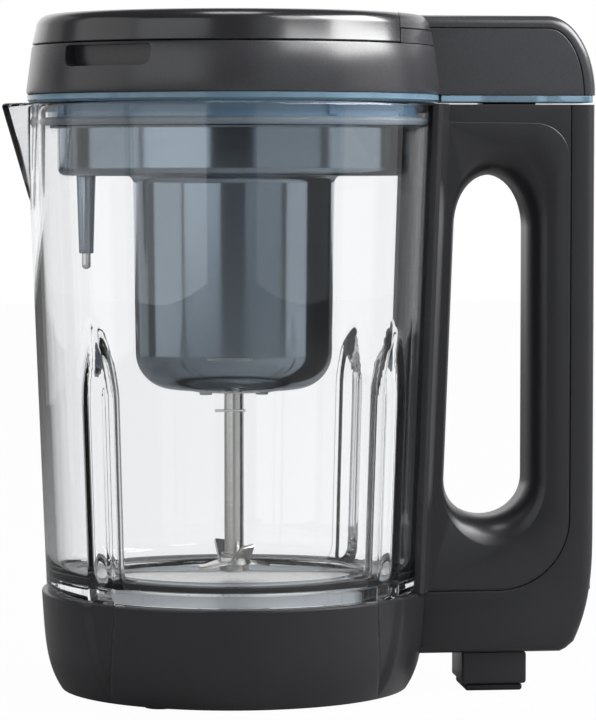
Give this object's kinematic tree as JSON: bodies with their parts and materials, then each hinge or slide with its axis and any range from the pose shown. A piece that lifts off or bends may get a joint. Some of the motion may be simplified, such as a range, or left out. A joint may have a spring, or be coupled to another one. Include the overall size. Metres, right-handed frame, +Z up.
{
  "type": "soup maker",
  "caption": "Countertop soup maker: clear jug on a heated base, loop handle, and a lift-off lid with a motor, a blade shaft and push buttons.",
  "frame": {"origin": "on the surface it stands on, on the jug's axis", "axes": "+X towards the handle, -X towards the spout, +Z up"},
  "size_m": [0.2445, 0.1712, 0.2806],
  "materials": {
    "clear_jug": "clear, polished",
    "black_plastic": "fine satin texture",
    "housing_grey": "metallic lacquer, satin",
    "gloss_black": "high gloss",
    "grey_lid_plastic": "satin, fine grain",
    "tinted_clear": "blue-grey translucent",
    "silicone": "matt",
    "black_rubber": "matt",
    "red_silicone": "matt",
    "stainless": "brushed",
    "screw_steel": "zinc plated",
    "aluminium_cast": "as cast",
    "element_steel": "heat darkened",
    "ceramic_body": "phenolic",
    "circuit_board": "solder mask",
    "window_tint": "dark tinted",
    "button_plastic": "satin silver",
    "lamination": "electrical steel",
    "copper_wire": "enamelled copper",
    "brass_part": "plain",
    "fan_plastic": "moulded",
    "wire_insulation": "silicone sleeve"
  },
  "bodies": {
    "jug_and_base": {"jug": "clear_jug", "plate_seal": "silicone", "heating_plate": "stainless", "heat_spreader": "aluminium_cast", "heating_element": "element_steel", "thermostats": "ceramic_body", "thermostat_bracket": "stainless", "clamp_ring": "aluminium_cast", "clamp_screws": "screw_steel", "base_housing": "black_plastic", "base_cover": "black_plastic", "base_screws": "screw_steel", "base_feet": "black_rubber", "power_board": "circuit_board", "handle_shell": "black_plastic", "handle_back_cover": "black_plastic", "handle_heel": "black_plastic", "heel_pad": "black_rubber", "handle_screws": "screw_steel", "handle_harness": "wire_insulation", "lid_socket": "black_plastic", "socket_contacts": "brass_part", "power_inlet": "black_plastic", "inlet_pins": "screw_steel"},
    "lid": {"lid_body": "grey_lid_plastic", "arm_cover": "black_plastic", "lid_top_cover": "gloss_black", "control_panel": "gloss_black", "display_window": "window_tint", "control_board": "circuit_board", "lid_tray": "tinted_clear", "lid_seal": "silicone", "lid_plug": "black_plastic", "plug_contacts": "brass_part", "lid_screws": "screw_steel", "motor_housing": "housing_grey", "housing_screws": "screw_steel", "overflow_sleeve": "black_plastic", "overflow_probe": "stainless", "shaft_plate": "stainless", "shaft_plate_screws": "screw_steel", "shaft_seal": "red_silicone", "motor_damper": "black_rubber", "lower_bracket": "aluminium_cast", "lower_bearing": "screw_steel", "stator": "lamination", "field_coils": "copper_wire", "upper_bracket": "aluminium_cast", "upper_bearing": "screw_steel", "brushes": "brass_part", "motor_bolts": "screw_steel"},
    "blade_drive": {"blade_shaft": "stainless", "rotor_core": "lamination", "commutator": "copper_wire", "cooling_fan": "fan_plastic", "blade": "stainless", "blade_nut": "stainless"},
    "mode_key": {"mode_button": "button_plastic"},
    "start_key": {"start_button": "button_plastic"},
    "portion_key": {"portion_button": "button_plastic"}
  },
  "joints": [
    {"name": "lid_lift", "type": "slide", "parent": "jug_and_base", "child": "lid", "axis": [0, 0, 1], "range_m": [0, 0.21]},
    {"name": "blade_spin", "type": "hinge", "parent": "lid", "child": "blade_drive", "pos_m": [0, 0, 0.12], "axis": [0, 0, 1], "continuous": true},
    {"name": "mode_press", "type": "slide", "parent": "lid", "child": "mode_key", "axis": [0, 0, -1], "range_m": [0, 0.0008], "stiffness_N_per_m": 900, "springref_m": -0.0004},
    {"name": "start_press", "type": "slide", "parent": "lid", "child": "start_key", "axis": [0, 0, -1], "range_m": [0, 0.0008], "stiffness_N_per_m": 900, "springref_m": -0.0004},
    {"name": "portion_press", "type": "slide", "parent": "lid", "child": "portion_key", "axis": [0, 0, -1], "range_m": [0, 0.0008], "stiffness_N_per_m": 900, "springref_m": -0.0004}
  ]
}
